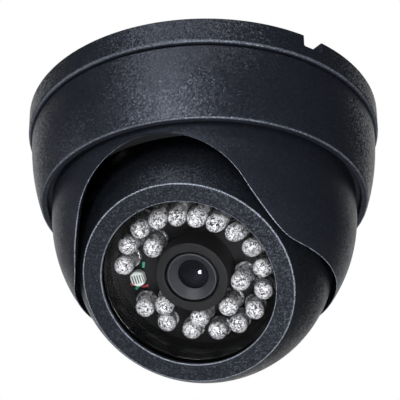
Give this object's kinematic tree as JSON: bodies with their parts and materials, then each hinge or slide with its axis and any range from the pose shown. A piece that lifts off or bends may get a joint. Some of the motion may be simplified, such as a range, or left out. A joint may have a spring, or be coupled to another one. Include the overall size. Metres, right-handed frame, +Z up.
{
  "type": "dome camera",
  "caption": "Ceiling dome camera: round base, twist-on locking ring, panning cover with an arched opening, and a tilting ball whose lens is ringed by night lights behind a flat window.",
  "frame": {"origin": "centre of the mounting base's ceiling face, on the pan axis", "axes": "+Z up towards the ceiling along the pan axis; at rest the ball looks towards -Y and downwards; the tilt axis is parallel to X"},
  "size_m": [0.094, 0.094, 0.0736],
  "materials": {
    "abs_base": "fine spark-eroded texture",
    "abs_ring": "fine spark-eroded texture",
    "abs_cover": "fine satin texture",
    "abs_ball": "fine satin texture",
    "felt": "pressed felt",
    "black_steel": "black coated",
    "zinc_steel": "zinc plated",
    "acetal": "natural",
    "soft_rubber": "matt",
    "clear_acrylic": "clear",
    "gloss_black": "gloss",
    "circuit_board": "solder mask",
    "clear_epoxy": "clear",
    "tinned_steel": "tinned",
    "sensor_ceramic": "glazed",
    "brass": "plain",
    "black_anodised": "black anodised",
    "optical_glass": "coated",
    "chip": "gloss",
    "nylon_white": "satin"
  },
  "bodies": {
    "base": {"mounting_base": "abs_base", "pan_washer": "felt"},
    "locking_ring_body": {"locking_ring": "abs_ring"},
    "turret": {"dome_cover": "abs_cover", "yoke": "black_steel", "yoke_screws": "zinc_steel", "slip_washers": "acetal"},
    "ball": {"ball_front": "abs_ball", "ball_rear": "abs_ball", "shell_screws": "zinc_steel", "tilt_pins": "zinc_steel", "window_seal": "soft_rubber", "window": "clear_acrylic", "inner_sleeve": "gloss_black", "led_board": "circuit_board", "night_lights": "clear_epoxy", "light_leads": "tinned_steel", "light_sensor": "sensor_ceramic", "sensor_leads": "tinned_steel", "lens_shroud": "soft_rubber", "board_posts": "brass", "sensor_board": "circuit_board", "board_screws": "zinc_steel", "lens_holder": "gloss_black", "holder_screws": "zinc_steel", "ir_filter": "optical_glass", "image_sensor": "chip", "signal_socket": "nylon_white", "power_socket": "nylon_white", "cable_grommet": "soft_rubber"},
    "lens": {"lens_barrel": "black_anodised", "front_glass": "optical_glass", "lens_spacer": "black_anodised", "rear_glass": "optical_glass"}
  },
  "joints": [
    {"name": "ring_twist", "type": "hinge", "parent": "base", "child": "locking_ring_body", "pos_m": [0, 0, -0.014], "axis": [0, 0, -1], "range_deg": [0, 36]},
    {"name": "pan", "type": "hinge", "parent": "base", "child": "turret", "pos_m": [0, 0, -0.0241], "axis": [0, 0, 1], "range_deg": [-170, 170]},
    {"name": "tilt", "type": "hinge", "parent": "turret", "child": "ball", "pos_m": [0, 0, -0.0406], "axis": [1, 0, 0], "range_deg": [-21.2, 38.8]},
    {"name": "focus", "type": "hinge", "parent": "ball", "child": "lens", "pos_m": [0, 0, -0.0406], "axis": [0, -0.6266, -0.7793], "range_deg": [-90, 90]}
  ]
}
